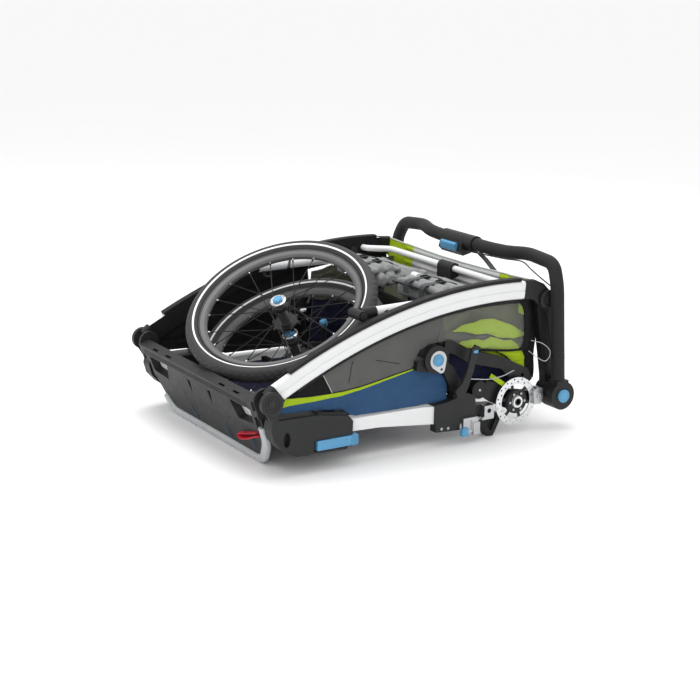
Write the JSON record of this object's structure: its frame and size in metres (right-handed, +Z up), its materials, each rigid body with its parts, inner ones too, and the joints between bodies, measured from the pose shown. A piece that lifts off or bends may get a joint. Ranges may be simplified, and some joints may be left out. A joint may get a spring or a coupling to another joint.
{
  "type": "folded child bicycle trailer",
  "caption": "Folded child bicycle trailer with its wheels stowed on top, a hinged upper frame, swing-over handlebar, brake discs and quick-release wheels.",
  "frame": {"origin": "on the floor, below the middle of the folded trailer", "axes": "+X to the rear, where the handlebar is; -X to the front panel; -Y to the side nearer in the picture; +Z up"},
  "size_m": [0.9115, 0.771, 0.4585],
  "materials": {
    "front_panel": "moulded, fine grain",
    "reflectors": "prismatic reflector",
    "bumper_strip": "soft light grey bumper",
    "front_knuckles": "moulded",
    "pull_loop": "woven webbing",
    "panel_cords": "elastic cord",
    "receivers": "moulded, fine grain",
    "lower_tubes": "satin white",
    "rear_brackets": "moulded",
    "bracket_hardware": "bead blasted",
    "feet": "moulded",
    "axle_tube": "powder coat",
    "axle_arms": "powder coat",
    "calipers": "forged",
    "fold_hubs": "moulded",
    "hub_plates": "brushed",
    "suspension_bars": "powder coat",
    "side_panels": "coated weave",
    "side_skirts": "coated weave",
    "side_folds": "coated weave",
    "floor_panel": "coated weave",
    "seat_frame": "powder coat",
    "seat_pads": "quilted",
    "wheel_axles": "turned",
    "side_tubes": "satin white",
    "tube_channels": "piping",
    "front_sockets": "moulded",
    "rear_sockets": "moulded",
    "cross_tube": "satin white",
    "cross_clamp": "moulded",
    "rear_panel": "coated weave",
    "windows": "clear film",
    "hoop_tube": "satin white",
    "hoop_fittings": "moulded",
    "hoop_pivots": "powder coat",
    "uprights": "powder coat",
    "handlebar": "closed cell foam",
    "bar_drums": "moulded",
    "brake_housing": "moulded",
    "brake_cable": "cable outer",
    "wrist_strap": "woven webbing",
    "brake_grip": "ribbed",
    "drum_button_near": "satin light blue",
    "drum_button_far": "satin light blue",
    "hub_button_near": "satin light blue",
    "hub_button_far": "satin light blue",
    "latch_near": "satin light blue",
    "latch_far": "satin light blue",
    "rotor_near": "drilled disc",
    "rotor_far": "drilled disc",
    "side_lever_near": "moulded",
    "side_lever_far": "moulded",
    "tyre_a": "rubber",
    "rim_a": "anodised dark grey",
    "spokes_a": "black",
    "cap_a": "satin light blue",
    "tyre_b": "rubber",
    "rim_b": "anodised dark grey",
    "spokes_b": "black",
    "cap_b": "satin light blue"
  },
  "bodies": {
    "base": {"front_panel": "front_panel", "reflectors": "reflectors", "bumper_strip": "bumper_strip", "front_knuckles": "front_knuckles", "pull_loop": "pull_loop", "panel_cords": "panel_cords", "receivers": "receivers", "lower_tubes": "lower_tubes", "rear_brackets": "rear_brackets", "bracket_hardware": "bracket_hardware", "feet": "feet", "axle_tube": "axle_tube", "axle_arms": "axle_arms", "calipers": "calipers", "fold_hubs": "fold_hubs", "hub_plates": "hub_plates", "suspension_bars": "suspension_bars", "side_panels": "side_panels", "side_skirts": "side_skirts", "side_folds": "side_folds", "floor_panel": "floor_panel", "seat_frame": "seat_frame", "seat_pads": "seat_pads", "wheel_axles": "wheel_axles"},
    "top_frame": {"side_tubes": "side_tubes", "tube_channels": "tube_channels", "front_sockets": "front_sockets", "rear_sockets": "rear_sockets", "cross_tube": "cross_tube", "cross_clamp": "cross_clamp", "rear_panel": "rear_panel", "windows": "windows", "hoop_pivots": "hoop_pivots"},
    "hoop": {"hoop_tube": "hoop_tube", "hoop_fittings": "hoop_fittings"},
    "uprights": {"uprights": "uprights"},
    "handlebar": {"handlebar": "handlebar", "bar_drums": "bar_drums", "brake_housing": "brake_housing", "brake_cable": "brake_cable", "wrist_strap": "wrist_strap"},
    "brake_grip": {"brake_grip": "brake_grip"},
    "drum_button_near": {"drum_button_near": "drum_button_near"},
    "drum_button_far": {"drum_button_far": "drum_button_far"},
    "hub_button_near": {"hub_button_near": "hub_button_near"},
    "hub_button_far": {"hub_button_far": "hub_button_far"},
    "latch_near": {"latch_near": "latch_near"},
    "latch_far": {"latch_far": "latch_far"},
    "rotor_near": {"rotor_near": "rotor_near"},
    "rotor_far": {"rotor_far": "rotor_far"},
    "side_lever_near": {"side_lever_near": "side_lever_near"},
    "side_lever_far": {"side_lever_far": "side_lever_far"},
    "wheel_a": {"tyre_a": "tyre_a", "rim_a": "rim_a", "spokes_a": "spokes_a"},
    "cap_a": {"cap_a": "cap_a"},
    "wheel_b": {"tyre_b": "tyre_b", "rim_b": "rim_b", "spokes_b": "spokes_b"},
    "cap_b": {"cap_b": "cap_b"}
  },
  "joints": [
    {"name": "frame_fold", "type": "hinge", "parent": "base", "child": "top_frame", "pos_m": [-0.428, 0, 0.187], "axis": [0, -1, 0], "range_deg": [0, 38]},
    {"name": "upright_fold", "type": "hinge", "parent": "top_frame", "child": "uprights", "pos_m": [0.375, 0, 0.345], "axis": [0, -1, 0], "range_deg": [-20, 0]},
    {"name": "handlebar_tilt", "type": "hinge", "parent": "uprights", "child": "handlebar", "pos_m": [0.415, 0, 0.092], "axis": [0, 1, 0], "range_deg": [0, 90]},
    {"name": "hoop_tilt", "type": "hinge", "parent": "top_frame", "child": "hoop", "pos_m": [0.209, 0, 0.371], "axis": [0, 1, 0], "range_deg": [0, 50]},
    {"name": "grip_squeeze", "type": "slide", "parent": "handlebar", "child": "brake_grip", "axis": [1, 0, 0], "range_m": [0, 0.004], "stiffness_N_per_m": 400, "springref_m": -0.002},
    {"name": "drum_push_near", "type": "slide", "parent": "handlebar", "child": "drum_button_near", "axis": [0, 1, 0], "range_m": [0, 0.005], "stiffness_N_per_m": 400, "springref_m": -0.002},
    {"name": "hub_push_near", "type": "slide", "parent": "base", "child": "hub_button_near", "axis": [0, 1, 0], "range_m": [0, 0.004], "stiffness_N_per_m": 400, "springref_m": -0.002},
    {"name": "latch_push_near", "type": "slide", "parent": "base", "child": "latch_near", "axis": [-1, 0, 0], "range_m": [0, 0.005], "stiffness_N_per_m": 400, "springref_m": -0.002},
    {"name": "rotor_spin_near", "type": "hinge", "parent": "base", "child": "rotor_near", "pos_m": [0.292, -0.34, 0.086], "axis": [0, 1, 0], "continuous": true},
    {"name": "lever_swing_near", "type": "hinge", "parent": "base", "child": "side_lever_near", "pos_m": [0.102, -0.35, 0.142], "axis": [0, 1, 0], "range_deg": [-20, 0]},
    {"name": "drum_push_far", "type": "slide", "parent": "handlebar", "child": "drum_button_far", "axis": [0, -1, 0], "range_m": [0, 0.005], "stiffness_N_per_m": 400, "springref_m": -0.002},
    {"name": "hub_push_far", "type": "slide", "parent": "base", "child": "hub_button_far", "axis": [0, -1, 0], "range_m": [0, 0.004], "stiffness_N_per_m": 400, "springref_m": -0.002},
    {"name": "latch_push_far", "type": "slide", "parent": "base", "child": "latch_far", "axis": [-1, 0, 0], "range_m": [0, 0.005], "stiffness_N_per_m": 400, "springref_m": -0.002},
    {"name": "rotor_spin_far", "type": "hinge", "parent": "base", "child": "rotor_far", "pos_m": [0.292, 0.34, 0.086], "axis": [0, 1, 0], "continuous": true},
    {"name": "lever_swing_far", "type": "hinge", "parent": "base", "child": "side_lever_far", "pos_m": [0.102, 0.35, 0.142], "axis": [0, 1, 0], "range_deg": [-20, 0]},
    {"name": "wheel_a_spin", "type": "hinge", "parent": "base", "child": "wheel_a", "pos_m": [-0.214, -0.017, 0.3175], "axis": [-0.457, -0.2533, 0.8526], "continuous": true},
    {"name": "cap_a_push", "type": "slide", "parent": "base", "child": "cap_a", "axis": [0.457, 0.2533, -0.8526], "range_m": [0, 0.005], "stiffness_N_per_m": 400, "springref_m": -0.002},
    {"name": "wheel_b_spin", "type": "hinge", "parent": "base", "child": "wheel_b", "pos_m": [-0.18, -0.02, 0.226], "axis": [-0.4353, -0.1759, 0.8829], "continuous": true},
    {"name": "cap_b_push", "type": "slide", "parent": "base", "child": "cap_b", "axis": [0.4353, 0.1759, -0.8829], "range_m": [0, 0.005], "stiffness_N_per_m": 400, "springref_m": -0.002}
  ],
  "couplings": [
    {"joint": "upright_fold", "follows": "frame_fold", "ratio": -0.52}
  ]
}
